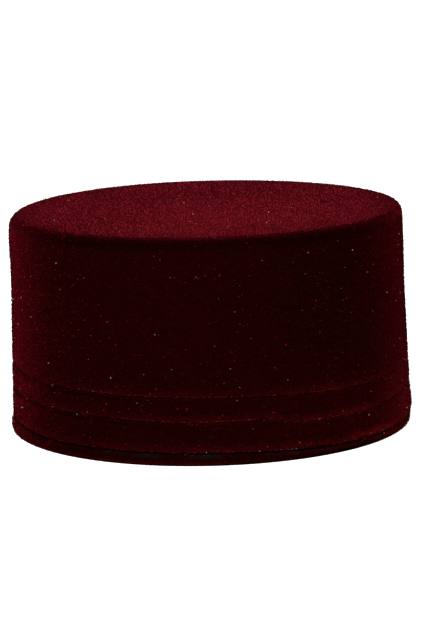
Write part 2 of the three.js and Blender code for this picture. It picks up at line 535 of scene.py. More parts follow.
class GrowingTree(NodeBuilder):
    """A geometry node tree with named inputs, whose result becomes a plain mesh."""

    def __init__(self, name: str) -> None:
        """Makes an empty tree with a geometry input and output."""
        super().__init__(bpy.data.node_groups.new(name, "GeometryNodeTree"))
        for way in ("INPUT", "OUTPUT"):
            self.tree.interface.new_socket("Geometry", in_out=way, socket_type="NodeSocketGeometry")
        self.entry = self.node("NodeGroupInput", {}, {})
        self.exit = self.node("NodeGroupOutput", {}, {})

    def inputs(self, numbers: str, **others: str) -> SimpleNamespace:
        """Adds named inputs: the numbers listed, others by their kinds, a seed and a material.

        Args:
            numbers: Names of the number inputs, with spaces between them.
            others: Kinds of further inputs by name.

        Returns:
            The inputs' sockets by name.
        """
        kinds = dict.fromkeys(numbers.split(), "Float") | others | {"seed": "Int", "material": "Material"}
        for name, kind in kinds.items():
            self.tree.interface.new_socket(name, in_out="INPUT", socket_type="NodeSocket" + kind)
        return SimpleNamespace(**{name: self.entry.outputs[name] for name in kinds})

    def number(self, operation: str, first: Any, second: Any) -> Socket:
        """One Math node on two numbers."""
        return self.node("ShaderNodeMath", {"operation": operation}, {0: first, 1: second}).outputs[0]

    def vector(self, operation: str, first: Any, second: Any = (0.0, 0.0, 0.0)) -> Socket:
        """One Vector Math node on two vectors, or on a vector and a number to scale it by."""
        ends = {0: first, "Scale" if operation == "SCALE" else 1: second}
        return self.node("ShaderNodeVectorMath", {"operation": operation}, ends).outputs[0]

    def random(self, low: Any, high: Any, seed: Any) -> Socket:
        """A random number for each element, or a random vector where the lower end is one.

        Args:
            low: The lower end of the range.
            high: Its upper end.
            seed: Seed of the draw.

        Returns:
            The random socket.
        """
        if isinstance(low, tuple):
            ends = {0: low, 1: high, "Seed": seed}
            return self.node("FunctionNodeRandomValue", {"data_type": "FLOAT_VECTOR"}, ends).outputs[0]
        ends = {2: low, 3: high, "Seed": seed}
        return self.node("FunctionNodeRandomValue", {"data_type": "FLOAT"}, ends).outputs[1]

    def strew(self, density: Any, seed: Any, lowest_rise: Any, highest_rise: Any) -> Node:
        """Strews points over the outside of the hat, where its normals rise between two levels.

        Args:
            density: Points for each square metre.
            seed: Seed of their places.
            lowest_rise: The least upward part of a normal.
            highest_rise: The greatest upward part of a normal.

        Returns:
            The node that gives the points and their normals.
        """
        index = self.node("GeometryNodeInputMaterialIndex", {}, {})
        kind = {"data_type": "INT", "operation": "EQUAL"}
        shown = self.node("FunctionNodeCompare", kind, {2: index, 3: 0})
        normal = self.node("GeometryNodeInputNormal", {}, {})
        rise = self.node("ShaderNodeSeparateXYZ", {}, {0: normal}).outputs[2]
        for operation, level in (("GREATER_THAN", lowest_rise), ("LESS_EQUAL", highest_rise)):
            kind = {"data_type": "FLOAT", "operation": operation}
            fits = self.node("FunctionNodeCompare", kind, {0: rise, 1: level})
            shown = self.node("FunctionNodeBooleanMath", {"operation": "AND"}, {0: shown, 1: fits})
        inputs = {"Mesh": self.entry, "Selection": shown, "Density": density, "Seed": seed}
        return self.node("GeometryNodeDistributePointsOnFaces", {"distribute_method": "RANDOM"}, inputs)

    def moved(self, geometry: Any, direction: Any, distance: Any) -> Node:
        """Moves points by a distance along a direction."""
        offset = self.vector("SCALE", direction, distance)
        return self.node("GeometryNodeSetPosition", {}, {"Geometry": geometry, "Offset": offset})

    def plant(self, points: Any, shape: Any, turn: Any, size: Any) -> Node:
        """Puts a shape on each point, turned and sized."""
        inputs = {"Points": points, "Instance": shape, "Rotation": turn, "Scale": size}
        return self.node("GeometryNodeInstanceOnPoints", {}, inputs)

    def mark(self, instances: Any, name: str, kind: str, value: Any) -> Node:
        """Stores a named number or vector on each instance."""
        settings = {"domain": "INSTANCE", "data_type": kind}
        inputs = {"Geometry": instances, "Name": name, "Value": value}
        return self.node("GeometryNodeStoreNamedAttribute", settings, inputs)

    def end(self, geometry: Any, material: Socket) -> None:
        """Realizes the instances, shades them smooth, sets their material and ends the tree.

        Args:
            geometry: The instances.
            material: The socket of their material.
        """
        real = self.node("GeometryNodeRealizeInstances", {}, {0: geometry})
        shaded = self.node("GeometryNodeSetShadeSmooth", {}, {0: real, "Shade Smooth": True})
        dressed = self.node("GeometryNodeSetMaterial", {}, {0: shaded, "Material": material})
        self.feed(self.exit.inputs[0], dressed)

    def grow(self, name: str, source: Object, lengths: Mapping[str, float], **others: Any) -> Object:
        """Runs the tree on an object.

        Args:
            name: Name of the new object.
            source: The object whose geometry goes in.
            lengths: The tree's inputs that are lengths in millimetres.
            others: Its other inputs.

        Returns:
            A new object with a plain mesh.
        """
        values = {key: length * MM for key, length in lengths.items()} | others
        modifier = source.modifiers.new("grow", "NODES")
        modifier.node_group = self.tree
        for item in self.tree.interface.items_tree:
            if item.item_type == "SOCKET" and item.in_out == "INPUT" and item.name in values:
                modifier[item.identifier] = values[item.name]
        evaluated = source.evaluated_get(bpy.context.evaluated_depsgraph_get())
        mesh = bpy.data.meshes.new_from_object(evaluated)
        mesh.name = name
        source.modifiers.remove(modifier)
        return linked(name, mesh)


def linked(name: str, data: bpy.types.ID) -> Object:
    """A new object of a mesh, curve, light or camera, in the scene."""
    made = bpy.data.objects.new(name, data)
    bpy.context.scene.collection.objects.link(made)
    return made


# Finishes


@dataclass(frozen=True)
class Velvet:
    """Deep maroon pile velvet: dark where it faces the eye, bright where it is seen along the pile."""

    name: str
    deep: Colour = (0.0162, 0.00055, 0.0010, 1.0)
    lit: Colour = (0.0194, 0.00065, 0.00115, 1.0)
    clumped: Colour = (0.027, 0.00095, 0.0016, 1.0)
    # Painted shade: the shoulder's roll, the flat top's edge, under the rows and on the binding.
    shaded: Colour = (0.0030, 0.0001, 0.0002, 1.0)
    crushed: Colour = (0.010, 0.006, 0.0066, 1.0)
    # Painted glints on rare tufts.
    glint: Colour = (0.36, 0.0135, 0.022, 1.0)
    # Ruffled pile over the rows with painted sheen there, and painted light: a highlight on the top, bounce
    # at the rim, light on the right.
    ruffled: Colour = (0.32, 0.0105, 0.0170, 1.0)
    sheen: Colour = (0.25, 0.0066, 0.0142, 1.0)
    sheen_roughness: float = 0.3
    pile_scale: float = 1100.0
    tuft_scale: float = 0.38 * 1100.0
    clump_scale: float = 0.62 * 1100.0
    lay_scale: float = 70.0
    grain_levels: tuple[float, float] = (0.40, 0.62)
    clump_levels: tuple[float, float] = (0.54, 0.74)
    ruffle_levels: tuple[float, float] = (0.35, 0.65)
    crush_levels: tuple[float, float] = (0.50, 0.62)
    dulled_by_shade: float = 0.7
    pile_depth: float = 0.8

    def material(self) -> Material:
        """Builds the velvet's material, which reads the pile's states from the piece's own mesh.

        Returns:
            The material, for every piece of this velvet.
        """
        shader = Shader(self.name)
        clumps = shader.noise(self.clump_scale, detail=1.0)
        lay = shader.noise(self.lay_scale, detail=3.0, rough=0.55)
        pile = shader.noise(self.pile_scale, rough=0.6)
        height = 0.6 * pile + 0.4 * shader.noise(self.tuft_scale, detail=1.0)
        shade = shader.attribute("shade")
        ruffle = shader.attribute("ruffle") * (0.7 + 0.6 * lay.eased(*self.ruffle_levels))
        crush = shader.attribute("crush") * lay.eased(*self.crush_levels)
        lustre = shader.attribute("lustre") * (1.0 - self.dulled_by_shade * shade)
        colour = shader.mix((0.8 * height + 0.2 * lay).eased(*self.grain_levels), self.deep, self.lit)
        # These mixes add clumps, painted sheen and light, painted shade, grey crushed pile and painted glints
        # to the colour.
        for share, tone in (
            (clumps.eased(*self.clump_levels), self.clumped),
            (ruffle, self.ruffled),
            (shade, self.shaded),
            (crush, self.crushed),
            (lustre, self.glint),
        ):
            colour = shader.mix(share, colour, tone)
        surface = {
            "Base Color": colour,
            "Roughness": 0.9,
            "Specular IOR Level": 0.0,
            "Sheen Weight": 1.0,
            "Sheen Roughness": self.sheen_roughness,
            "Sheen Tint": self.sheen,
        }
        return shader.finish(surface, height, self.pile_depth * MM)


@dataclass(frozen=True)
class Backing:
    """The plain woven back of the cloth, seen inside the hat."""

    name: str
    thread: Colour = (0.055, 0.012, 0.014, 1.0)
    gap: Colour = (0.014, 0.003, 0.004, 1.0)
    threads_per_metre: float = 1400.0
    uneven_scale: float = 220.0
    weave_depth: float = 0.12

    def material(self) -> Material:
        """Builds the backing's material, whose weave follows the piece's own UV map.

        Returns:
            The material.
        """
        shader = Shader(self.name)
        cloth = shader.node("ShaderNodeUVMap", {"uv_map": "cloth"}, {}).outputs[0]
        split = shader.node("ShaderNodeSeparateXYZ", {}, {"Vector": cloth})
        turn = math.pi * self.threads_per_metre
        across, along = ((Value(shader, split.outputs[axis]) * turn).sine() for axis in (0, 1))
        weave = 0.5 + 0.5 * across * along
        uneven = shader.noise(self.uneven_scale, detail=3.0)
        colour = shader.mix(weave * 0.7 + uneven * 0.3, self.gap, self.thread)
        surface = {"Base Color": colour, "Roughness": 0.85, "Specular IOR Level": 0.2}
        return shader.finish(surface, weave, self.weave_depth * MM)


@dataclass(frozen=True)
class Thread:
    """Machine sewing thread, lighter than the pile that half covers it, with pale specks of painted glint."""

    name: str
    colour: Colour = (0.12, 0.008, 0.013, 1.0)
    dark: Colour = (0.012, 0.0006, 0.001, 1.0)
    # Pale painted glint on some stitches.
    painted_glint: Colour = (0.32, 0.09, 0.11, 1.0)
    fibre_scale: float = 2600.0
    fibre_depth: float = 0.06
    patch_scale: float = 420.0
    patch_levels: tuple[float, float] = (0.44, 0.60)
    painted_glint_scale: float = 310.0
    painted_glint_levels: tuple[float, float] = (0.70, 0.80)

    def material(self) -> Material:
        """Builds the thread's material.

        Returns:
            The material.
        """
        shader = Shader(self.name)
        fibres = shader.noise(self.fibre_scale)
        patches = 0.4 * fibres + 0.6 * shader.noise(self.patch_scale, detail=1.0)
        painted_glint = shader.noise(self.painted_glint_scale, detail=0.0).eased(*self.painted_glint_levels)
        colour = shader.mix(patches.eased(*self.patch_levels), self.dark, self.colour)
        colour = shader.mix(painted_glint, colour, self.painted_glint)
        surface = {"Base Color": colour, "Roughness": 0.7, "Specular IOR Level": 0.03}
        return shader.finish(surface, fibres, self.fibre_depth * MM)


@dataclass(frozen=True)
class Lint:
    """Specks of pale lint and stray pile caught on the velvet."""

    name: str
    pale: Colour = (0.60, 0.60, 0.66, 1.0)
    rosy: Colour = (0.50, 0.09, 0.07, 1.0)
    patch_scale: float = 300.0
    patch_levels: tuple[float, float] = (0.5, 0.62)
    patch_depth: float = 0.02

    def material(self) -> Material:
        """Builds the lint's material.

        Returns:
            The material.
        """
        shader = Shader(self.name)
        patch = shader.noise(self.patch_scale, detail=1.0)
        colour = shader.mix(patch.eased(*self.patch_levels), self.rosy, self.pale)
        surface = {"Base Color": colour, "Roughness": 0.8, "Specular IOR Level": 0.1}
        return shader.finish(surface, patch, self.patch_depth * MM)


# Meshes


@dataclass
class TurnedShell:
    """A closed mesh of rings round the hat, added up its outside and down its inside.

    Attributes:
        name: Name of the object.
        on_axis: Whether the first and last rings are points on the axis.
        steps: Points in each ring.
        rings: The sizes and states of each ring's points, by name.
    """

    name: str
    on_axis: bool = False
    steps: int = 960
    rings: list[dict[str, Array]] = field(default_factory=list)

    @property
    def angle(self) -> Array:
        """Evenly spaced angles round the hat, in radians."""
        return np.arange(self.steps) / self.steps * 2.0 * math.pi

    def ring(self, radius: Any, height: Any, inner: bool, **pile: Any) -> None:
        """Adds a ring of points.

        Args:
            radius: Radii in millimetres, one for each angle or one for all.
            height: Heights in millimetres, in the same way.
            inner: Whether the ring belongs to the inside of the hat.
            pile: How crushed its pile is, how ruffled with painted sheen and light, and how much painted
                shade it has, from 0 to 1, where it is.
        """
        sizes = {"radius": radius, "height": height, "inner": inner}
        sizes |= dict.fromkeys(PILE_STATES, 0.0) | pile
        self.rings.append({key: np.broadcast_to(size, self.steps) for key, size in sizes.items()})

    def stacked(self, name: str) -> Array:
        """One size or state of all points, with one row for each angle."""
        return np.stack([ring[name] for ring in self.rings], axis=1)

    def build(self, outside: Material, inside: Material) -> Object:
        """Makes the mesh and dresses it.

        Args:
            outside: Material of the faces that show.
            inside: Material of the faces inside the hat.

        Returns:
            The new object, at the origin, its place in its mesh.
        """
        radius = self.stacked("radius")
        angle = self.angle[:, None]
        points = np.stack([radius * np.cos(angle), radius * np.sin(angle), self.stacked("height")], axis=-1)
        points = points.reshape(-1, 3) * MM
        faces = self._faces(radius.shape[1])
        mesh = bpy.data.meshes.new(self.name)
        mesh.from_pydata(points.tolist(), [], faces)
        for state in PILE_STATES:
            layer = mesh.attributes.new(state, "FLOAT", "POINT")
            layer.data.foreach_set("value", self.stacked(state).ravel())
        mesh.materials.append(outside)
        mesh.materials.append(inside)
        inner = self.stacked("inner").ravel()
        mesh.polygons.foreach_set("material_index", [int(all(inner[v] for v in face)) for face in faces])
        mesh.polygons.foreach_set("use_smooth", [True] * len(faces))
        self._lay_cloth_map(mesh, points, float(radius.mean()) * MM)
        drop_loose_points(mesh)
        return linked(self.name, mesh)

    def _faces(self, count: int) -> list[tuple[int, ...]]:
        """Quads between the rings, facing out, with fans at the axis or a closed profile.

        Args:
            count: Number of rings.

        Returns:
            The corners of each face.
        """
        index = np.arange(self.steps * count).reshape(self.steps, count)
        after = np.roll(index, -1, axis=0)
        here = np.concatenate([index, index[:, :1]], axis=1)
        fans: list[tuple[int, ...]] = []
        if self.on_axis:
            here = index[:, 1:-1]
            fans += [(index[0, 0], b, a) for a, b in zip(index[:, 1], after[:, 1])]
            fans += [(index[0, -1], a, b) for a, b in zip(index[:, -2], after[:, -2])]
        there = np.roll(here, -1, axis=0)
        quads = np.stack([here[:, :-1], there[:, :-1], there[:, 1:], here[:, 1:]], axis=-1).reshape(-1, 4)
        return [tuple(int(v) for v in face) for face in (*quads, *fans)]

    def _lay_cloth_map(self, mesh: Mesh, points: Array, radius: float) -> None:
        """Writes the UV map of the flat cloth in metres: round and up the wall, or across the crown.

        Args:
            mesh: The mesh.
            points: Its points in metres.
            radius: Their mean distance from the axis in metres.
        """
        corners = np.empty(len(mesh.loops), dtype=np.int64)
        mesh.loops.foreach_get("vertex_index", corners)
        if self.on_axis:
            uv = points[corners, :2]
        else:
            whole = 2.0 * math.pi * radius
            length = np.repeat(np.arange(self.steps), len(self.rings)) / self.steps * whole
            uv = np.stack([length[corners], points[corners, 2]], axis=-1)
            start = np.repeat(uv[::4, 0], 4)
            uv[:, 0] += np.where(start - uv[:, 0] > whole / 2.0, whole, 0.0)
        layer = mesh.uv_layers.new(name="cloth")
        layer.data.foreach_set("uv", uv.astype(np.float32).ravel())


def drop_loose_points(mesh: Mesh) -> None:
    """Deletes the points that no face uses.

    Args:
        mesh: The mesh to clean.
    """
    work = bmesh.new()
    work.from_mesh(mesh)
    loose = [point for point in work.verts if not point.link_faces]
    bmesh.ops.delete(work, geom=loose, context="VERTS")
    work.to_mesh(mesh)
    work.free()


# Pieces


@dataclass
class CrownTop:
    """The flat round top, which rolls over the shoulder into a short skirt."""

    form: HatForm
    roll_steps: int = 12
    inside_steps: int = 5
    fold: float = 1.2
    bevel: float = 0.02
    bevel_middle: float = 0.005
    supports: tuple[float, ...] = (0.1, 0.3)
    under_radii: tuple[float, ...] = (0.0, 2.0, 30.0, 60.0, 80.0)
    top_shares: tuple[float, ...] = (
        0.995, 0.98, 0.95, 0.9, 0.84, 0.77, 0.69, 0.6, 0.5, 0.4, 0.3, 0.2, 0.1, 0.03, 0.0
    )
    rise_reach: float = 70.0
    edge_shade: Around = Around(0.7, 0.15, 0.7, 0.25, 0.0, 0.15)
    edge_shade_from: float = 76.0
    edge_shade_reach: float = 11.0
    # A painted highlight: a soft pool of light on the flat top, towards the front.
    painted_highlight_x: float = 8.0
    painted_highlight_y: float = -30.0
    painted_highlight_reach: float = 84.0
    painted_highlight_amount: float = 0.12
    dimples: tuple[tuple[float, ...], ...] = ((0.10, 0.055, 0.031, 0.6), (0.06, -0.047, 0.093, 2.2))
    dimple_from: float = 12.0
    dimple_end: float = 88.0
    dimple_fade: float = 14.0

    def build(self, velvet: Material, backing: Material) -> Object:
        """Models and dresses the crown.

        Args:
            velvet: Finish of the outside.
            backing: Finish of the inside.

        Returns:
            The crown's object.
        """
        form = self.form
        shell = TurnedShell("crown_velvet", on_axis=True)
        angle = shell.angle
        shoulder = form.shoulder.at(angle)
        top = form.crown_top(angle)
        roll_height = top - shoulder
        roll_radius = form.wall(roll_height, angle) - shoulder

        def add(radius: Any, height: Any, inner: bool = False) -> None:
            """Adds one ring of points, with its painted highlight and painted shade."""
            height = np.broadcast_to(height, angle.shape)
            shade = np.maximum(form.shaded(height, angle), self.edge_shaded(radius, angle))
            shell.ring(radius, height, inner, ruffle=self.painted_highlight(radius, height, angle), shade=shade)

        for radius in self.under_radii:
            add(radius, form.height - form.pile_depth - form.cloth, True)
        inside = shoulder - form.cloth
        for turn in np.linspace(math.pi / 2.0, 0.0, self.inside_steps):
            add(roll_radius + inside * math.cos(turn), roll_height + inside * math.sin(turn), True)
        seam = form.crown_seam
        skirt = form.wall(np.full_like(angle, seam), angle) + form.unevenness(seam, angle)
        add(skirt - form.cloth, seam, True)
        add(skirt - self.fold, seam, True)
        add(skirt - self.bevel, seam)
        add(skirt - self.bevel_middle, seam + self.bevel_middle)
        for lift in (self.bevel, *self.supports):
            add(skirt, seam + lift)
        for turn in np.linspace(0.0, math.pi / 2.0, self.roll_steps + 1):
            height = roll_height + shoulder * math.sin(turn)
            slow = form.unevenness(height, angle) * math.cos(turn)
            add(roll_radius + shoulder * math.cos(turn) + slow, height)
        for share in self.top_shares:
            radius = roll_radius * share
            level = form.height + (top - form.height) * smooth(radius / self.rise_reach)
            add(radius, level + self.dimple(radius, angle))
        return shell.build(velvet, backing)

    def painted_highlight(self, radius: Array, height: Array, angle: Array) -> Array:
        """Painted highlight: how much a soft pool of light brightens the flat top, from 0 to 1."""
        away = np.hypot(radius * np.cos(angle) - self.painted_highlight_x, radius * np.sin(angle) - self.painted_highlight_y)
        return (height > self.form.height - 1.0) * self.painted_highlight_amount * rounded(away / self.painted_highlight_reach)

    def edge_shaded(self, radius: Array, angle: Array) -> Array:
        """How shaded the flat top's pile is close to its edge, from 0 to 1."""
        return self.edge_shade.at(angle) * smooth((radius - self.edge_shade_from) / self.edge_shade_reach)

    def dimple(self, radius: Array, angle: Array) -> Array:
        """The flat top's slight unevenness, nothing at its middle and its edge.

        Args:
            radius: Radii in millimetres.
            angle: Angles in radians from the right side.

        Returns:
            Heights in millimetres.
        """
        x = radius * np.cos(angle)
        y = radius * np.sin(angle)
        fade = smooth(radius / self.dimple_from) * smooth((self.dimple_end - radius) / self.dimple_fade)
        return fade * sum(size * np.sin(kx * x + ky * y + start) for size, kx, ky, start in self.dimples)


@dataclass
class SideBand:
    """The tapering side wall, drawn in by its rows of stitching, its lower edge a thin tongue."""

    form: HatForm
    gap: float = 0.01
    lip_depth: float = 0.35
    lip_reach: float = 0.9
    lip_round: float = 0.1
    lip_fold: float = 0.3
    tongue_foot: float = 1.5
    tongue_depth: float = 1.4
    fold: float = 1.2
    bevel: float = 0.02
    supports: tuple[float, ...] = (0.3, 0.1)
    over_rows: tuple[float, ...] = (0.0, 0.25, 0.6, 1.1, 1.8, 2.7, 4.0)
    under_rows: tuple[float, ...] = (3.6, 2.6, 1.8, 1.2, 0.7, 0.3)
    wall_shares: tuple[float, ...] = tuple(np.linspace(0.11, 1.0, 15, endpoint=False))
    inside_heights: tuple[float, ...] = (90.0, 83.0, 73.0, 56.0, 40.0, 24.0, 12.0)

    def surface(self, height: Array, angle: Array) -> Array:
        """Radius of the velvet, which also rolls in at the lip over the lowest row."""
        roll = np.clip(1.0 - (height - self.form.lowest.height.at(angle)) / self.lip_reach, 0.0, 1.0) ** 2
        return self.form.velvet(height, angle) + self.form.lip_swell.at(height, angle) - self.lip_depth * roll

    def build(self, velvet: Material, backing: Material) -> Object:
        """Models and dresses the side band.

        Args:
            velvet: Finish of the outside.
            backing: Finish of the inside.

        Returns:
            The side band's object.
        """
        form = self.form
        shell = TurnedShell("side_band_velvet")
        angle = shell.angle
        top = np.full_like(angle, form.crown_seam - self.gap)
        lip = form.lowest.height.at(angle) + self.gap
        foot = np.full_like(angle, self.tongue_foot)

        def add(radius: Array, height: Array, inner: bool = False) -> None:
            """Adds one ring of points, with its ruffled pile, painted sheen and light, and painted shade."""
            pile = {"ruffle": form.ruffled(height, angle), "shade": form.shaded(height, angle)}
            shell.ring(radius, height, inner, **pile)

        for height in (foot, lip):
            add(form.wall(height, angle) - self.tongue_depth, height, True)
        add(self.surface(lip + self.lip_round, angle) - self.lip_fold, lip)
        for height in self._stations(angle, lip, top):
            add(self.surface(height, angle), height)
        edge = self.surface(top, angle)
        add(edge - self.bevel, top)
        add(edge - self.fold, top, True)
        for height in (top, *(np.full_like(angle, level) for level in self.inside_heights), foot):
            add(form.wall(height, angle) - form.cloth, height, True)
        return shell.build(velvet, backing)

    def _stations(self, angle: Array, lip: Array, top: Array) -> list[Array]:
        """Heights of the velvet's rings, close together at the rows.

        Args:
            angle: Angles in radians.
            lip: Height of the band's lower lip at each angle.
            top: Height of its upper edge.

        Returns:
            Heights at each angle, from the lip up.
        """
        middle, upper = (row.height.at(angle) for row in reversed(self.form.rows))
        made: list[Array] = []
        for low, high in ((lip, middle), (middle, upper)):
            made += [low + offset for offset in self.over_rows]
            room = high - low - self.over_rows[-1] - self.under_rows[0]
            made += [low + self.over_rows[-1] + room * share for share in (1.0 / 3.0, 2.0 / 3.0)]
            made += [high - offset for offset in self.under_rows]
        made += [upper + offset for offset in self.over_rows]
        made += [upper + (top - upper) * share for share in self.wall_shares]
        return made + [top - offset for offset in self.supports]


@dataclass
class HemBinding:
    """The narrow strip folded up round the band's lower edge, on which the hat rests."""

    form: HatForm
    leg: float = 1.1
    web: float = 1.2
    edge: float = 1.2
    gap: float = 0.3
    slit: float = 0.05
    over_edge: float = 0.05
    over_edge_step: float = 0.1
    inside_height: float = 10.5
    inside_round: float = 0.4
    inside_bevel: float = 0.05
    round_steps: int = 5
    outside_shares: tuple[float, ...] = (0.3, 0.45, 0.6, 0.72, 0.82, 0.9, 0.96, 1.0)
    tuck: Around = Around(0.45, 0.7, 0.75, 0.7, 0.45, 0.5)
    tuck_from: float = 0.5
    tuck_rise: float = 0.5
    tuck_power: float = 1.4
    bulge: Around = Around(0.1, 0.2, 0.5, 0.4, 0.4, 0.3)
    bulge_place: float = 0.45
    bulge_reach: float = 0.62
    bulge_at_edge: float = 0.5
    crushed: Around = Around(0.2, 0.4, 0.3, 0.4, 0.9, 0.5)
    crushed_from: float = 0.5
    crushed_rise: float = 0.3
    crushed_edge: float = 0.8
    # Painted bounce light from the floor along the rounded rim.
    rubbed_rim: Around = Around(0.22, 0.25, 0.52, 0.46, 0.32, 0.12)
    rim_reach: float = 2.4
    # Painted light on the binding, strongest on the right.
    painted_right_light: Around = Around(0.44, 0.10, 0.05, 0.01, 0.01, 0.03)
    shadow: Around = Around(0.0, 0.25, 0.3, 0.5, 0.25, 0.0)
    shadow_from: float = 0.35
    shadow_rise: float = 0.4

    def build(self, velvet: Material) -> Object:
        """Models and dresses the binding.

        Args:
            velvet: Finish of the binding.

        Returns:
            The binding's object.
        """
        form = self.form
        shell = TurnedShell("hem_binding_velvet")
        angle = shell.angle
        upper = form.lowest.height.at(angle) - self.slit
        bulge = self.bulge.at(angle)
        inside_face = form.cloth + self.gap
        innermost = inside_face + self.leg
        shoulder = self.inside_height - self.inside_round

        def add(depth: Any, height: Any, crush: Any = 0.0, shade: Any = 0.0) -> None:
            """Adds one ring of points at a depth inside the plain wall."""
            level = np.broadcast_to(height, angle.shape)
            # Painted light: floor bounce along the rim, and light on the right.
            ruffle = self.rubbed_rim.at(angle) * rounded(level / self.rim_reach) + self.painted_right_light.at(angle)
            shell.ring(form.wall(level, angle) - depth, level, False, crush=crush, ruffle=ruffle, shade=shade)

        for turn in np.linspace(math.pi / 2.0, 0.0, self.round_steps):
            bulged = self.bulge_at_edge * bulge * math.cos(turn)
            add(self.edge * (1.0 - math.cos(turn)) - bulged, self.edge * (1.0 - math.sin(turn)))
        for share in self.outside_shares:
            height = np.maximum(self.edge + self.over_edge + self.over_edge_step * share, upper * share)
            swell = bulge * rounded(np.array((share - self.bulge_place) / self.bulge_reach))
            tucked = smooth((share - self.tuck_from) / self.tuck_rise) ** self.tuck_power
            crush = smooth((share - self.crushed_from) / self.crushed_rise) * self.crushed.at(angle)
            shade = smooth((share - self.shadow_from) / self.shadow_rise) * self.shadow.at(angle)
            add(self.tuck.at(angle) * tucked - swell, height, crush, shade)
        add(self.leg, upper, self.crushed_edge)
        add(self.leg, self.web)
        add(inside_face, self.web)
        add(inside_face, shoulder)
        for turn in np.linspace(0.0, math.pi, self.round_steps)[1:-1]:
            depth = inside_face + self.leg / 2.0 - math.cos(turn) * (self.leg / 2.0 - self.inside_bevel)
            add(depth, shoulder + self.inside_round * math.sin(turn))
        add(innermost, shoulder)
        add(innermost, self.inside_height / 2.0)
        for turn in np.linspace(0.0, math.pi / 2.0, self.round_steps):
            add(innermost - self.edge * (1.0 - math.cos(turn)), self.edge * (1.0 - math.sin(turn)))
        return shell.build(velvet, velvet)


@dataclass
class Stitching:
    """Machine stitches laid along the rows by geometry nodes."""

    form: HatForm
    width: float = 0.42
    length: float = 0.86
    sink: float = 0.16
    deepest: float = -0.8
    out: Around = Around(-0.12, 0.0, -0.2, -0.05, 0.12, 0.0)
    over_slit: float = 0.1
    past_jog: float = 0.8
    path_steps: int = 1440
    seed: int = 11

    def tree(self) -> GrowingTree:
        """Builds the tree that lays one stitch at each step along a path.

        Returns:
            The tree, with named inputs.
        """
        grower = GrowingTree("stitch_row")
        given = grower.inputs("pitch width sink")
        spacing = {"Curve": grower.entry, "Length": given.pitch}
        path = grower.node("GeometryNodeResampleCurve", {"mode": "LENGTH"}, spacing)
        bead = grower.node("GeometryNodeMeshUVSphere", {}, {"Segments": 8, "Rings": 5, "Radius": 0.5})
        place = grower.node("GeometryNodeInputPosition", {}, {})
        out = grower.vector("NORMALIZE", grower.vector("MULTIPLY", place, (1.0, 1.0, 0.0)))
        push = grower.number("MULTIPLY", grower.random(self.deepest, 1.0, given.seed), given.sink)
        tangent = grower.node("GeometryNodeInputTangent", {}, {})
        turn = grower.node("FunctionNodeAlignRotationToVector", {"axis": "X"}, {"Vector": tangent})
        length = grower.number("MULTIPLY", given.pitch, self.length)
        size = grower.node("ShaderNodeCombineXYZ", {}, {0: length, 1: given.width, 2: given.width})
        grower.end(grower.plant(grower.moved(path, out, push), bead, turn, size), given.material)
        return grower

    def build(self, band: SideBand, thread: Material) -> list[Object]:
        """Lays the stitches of every row.

        Args:
            band: The side band, whose surface they lie in.
            thread: Finish of the thread.

        Returns:
            One object for each row.
        """
        grower = self.tree()
        made = []
        for number, row in enumerate((*self.form.rows, self.form.lowest)):
            path = self._path(row, band)
            lengths = {"pitch": row.pitch, "width": self.width, "sink": self.sink}
            name = f"stitches_{row.name}_row"
            made.append(grower.grow(name, path, lengths, seed=self.seed + number, material=thread))
            bpy.data.objects.remove(path)
        return made

    def _path(self, row: StitchedRow, band: SideBand) -> Object:
        """The curve that a row's stitches follow, once round the hat from its jog.

        Args:
            row: The row.
            band: The side band, whose surface it follows.

        Returns:
            The curve's object.
        """
        start = math.radians(row.jog_bearing + self.past_jog)
        angle = start + np.linspace(0.0, 2.0 * math.pi, self.path_steps, endpoint=False)
        height = sum(level * strength for level, strength in row.branches(angle)) + row.stitch_lift
        lowest = self.form.lowest.height.at(angle) + self.over_slit
        radius = band.surface(np.maximum(height, lowest), angle) + self.out.at(angle)
        points = np.stack([radius * np.cos(angle), radius * np.sin(angle), height], axis=-1) * MM
        curve = bpy.data.curves.new("row_path", "CURVE")
        curve.dimensions = "3D"
        spline = curve.splines.new("POLY")
        spline.points.add(len(points) - 1)
        spline.points.foreach_set("co", np.c_[points, np.ones(len(points))].ravel())
        return linked("row_path", curve)


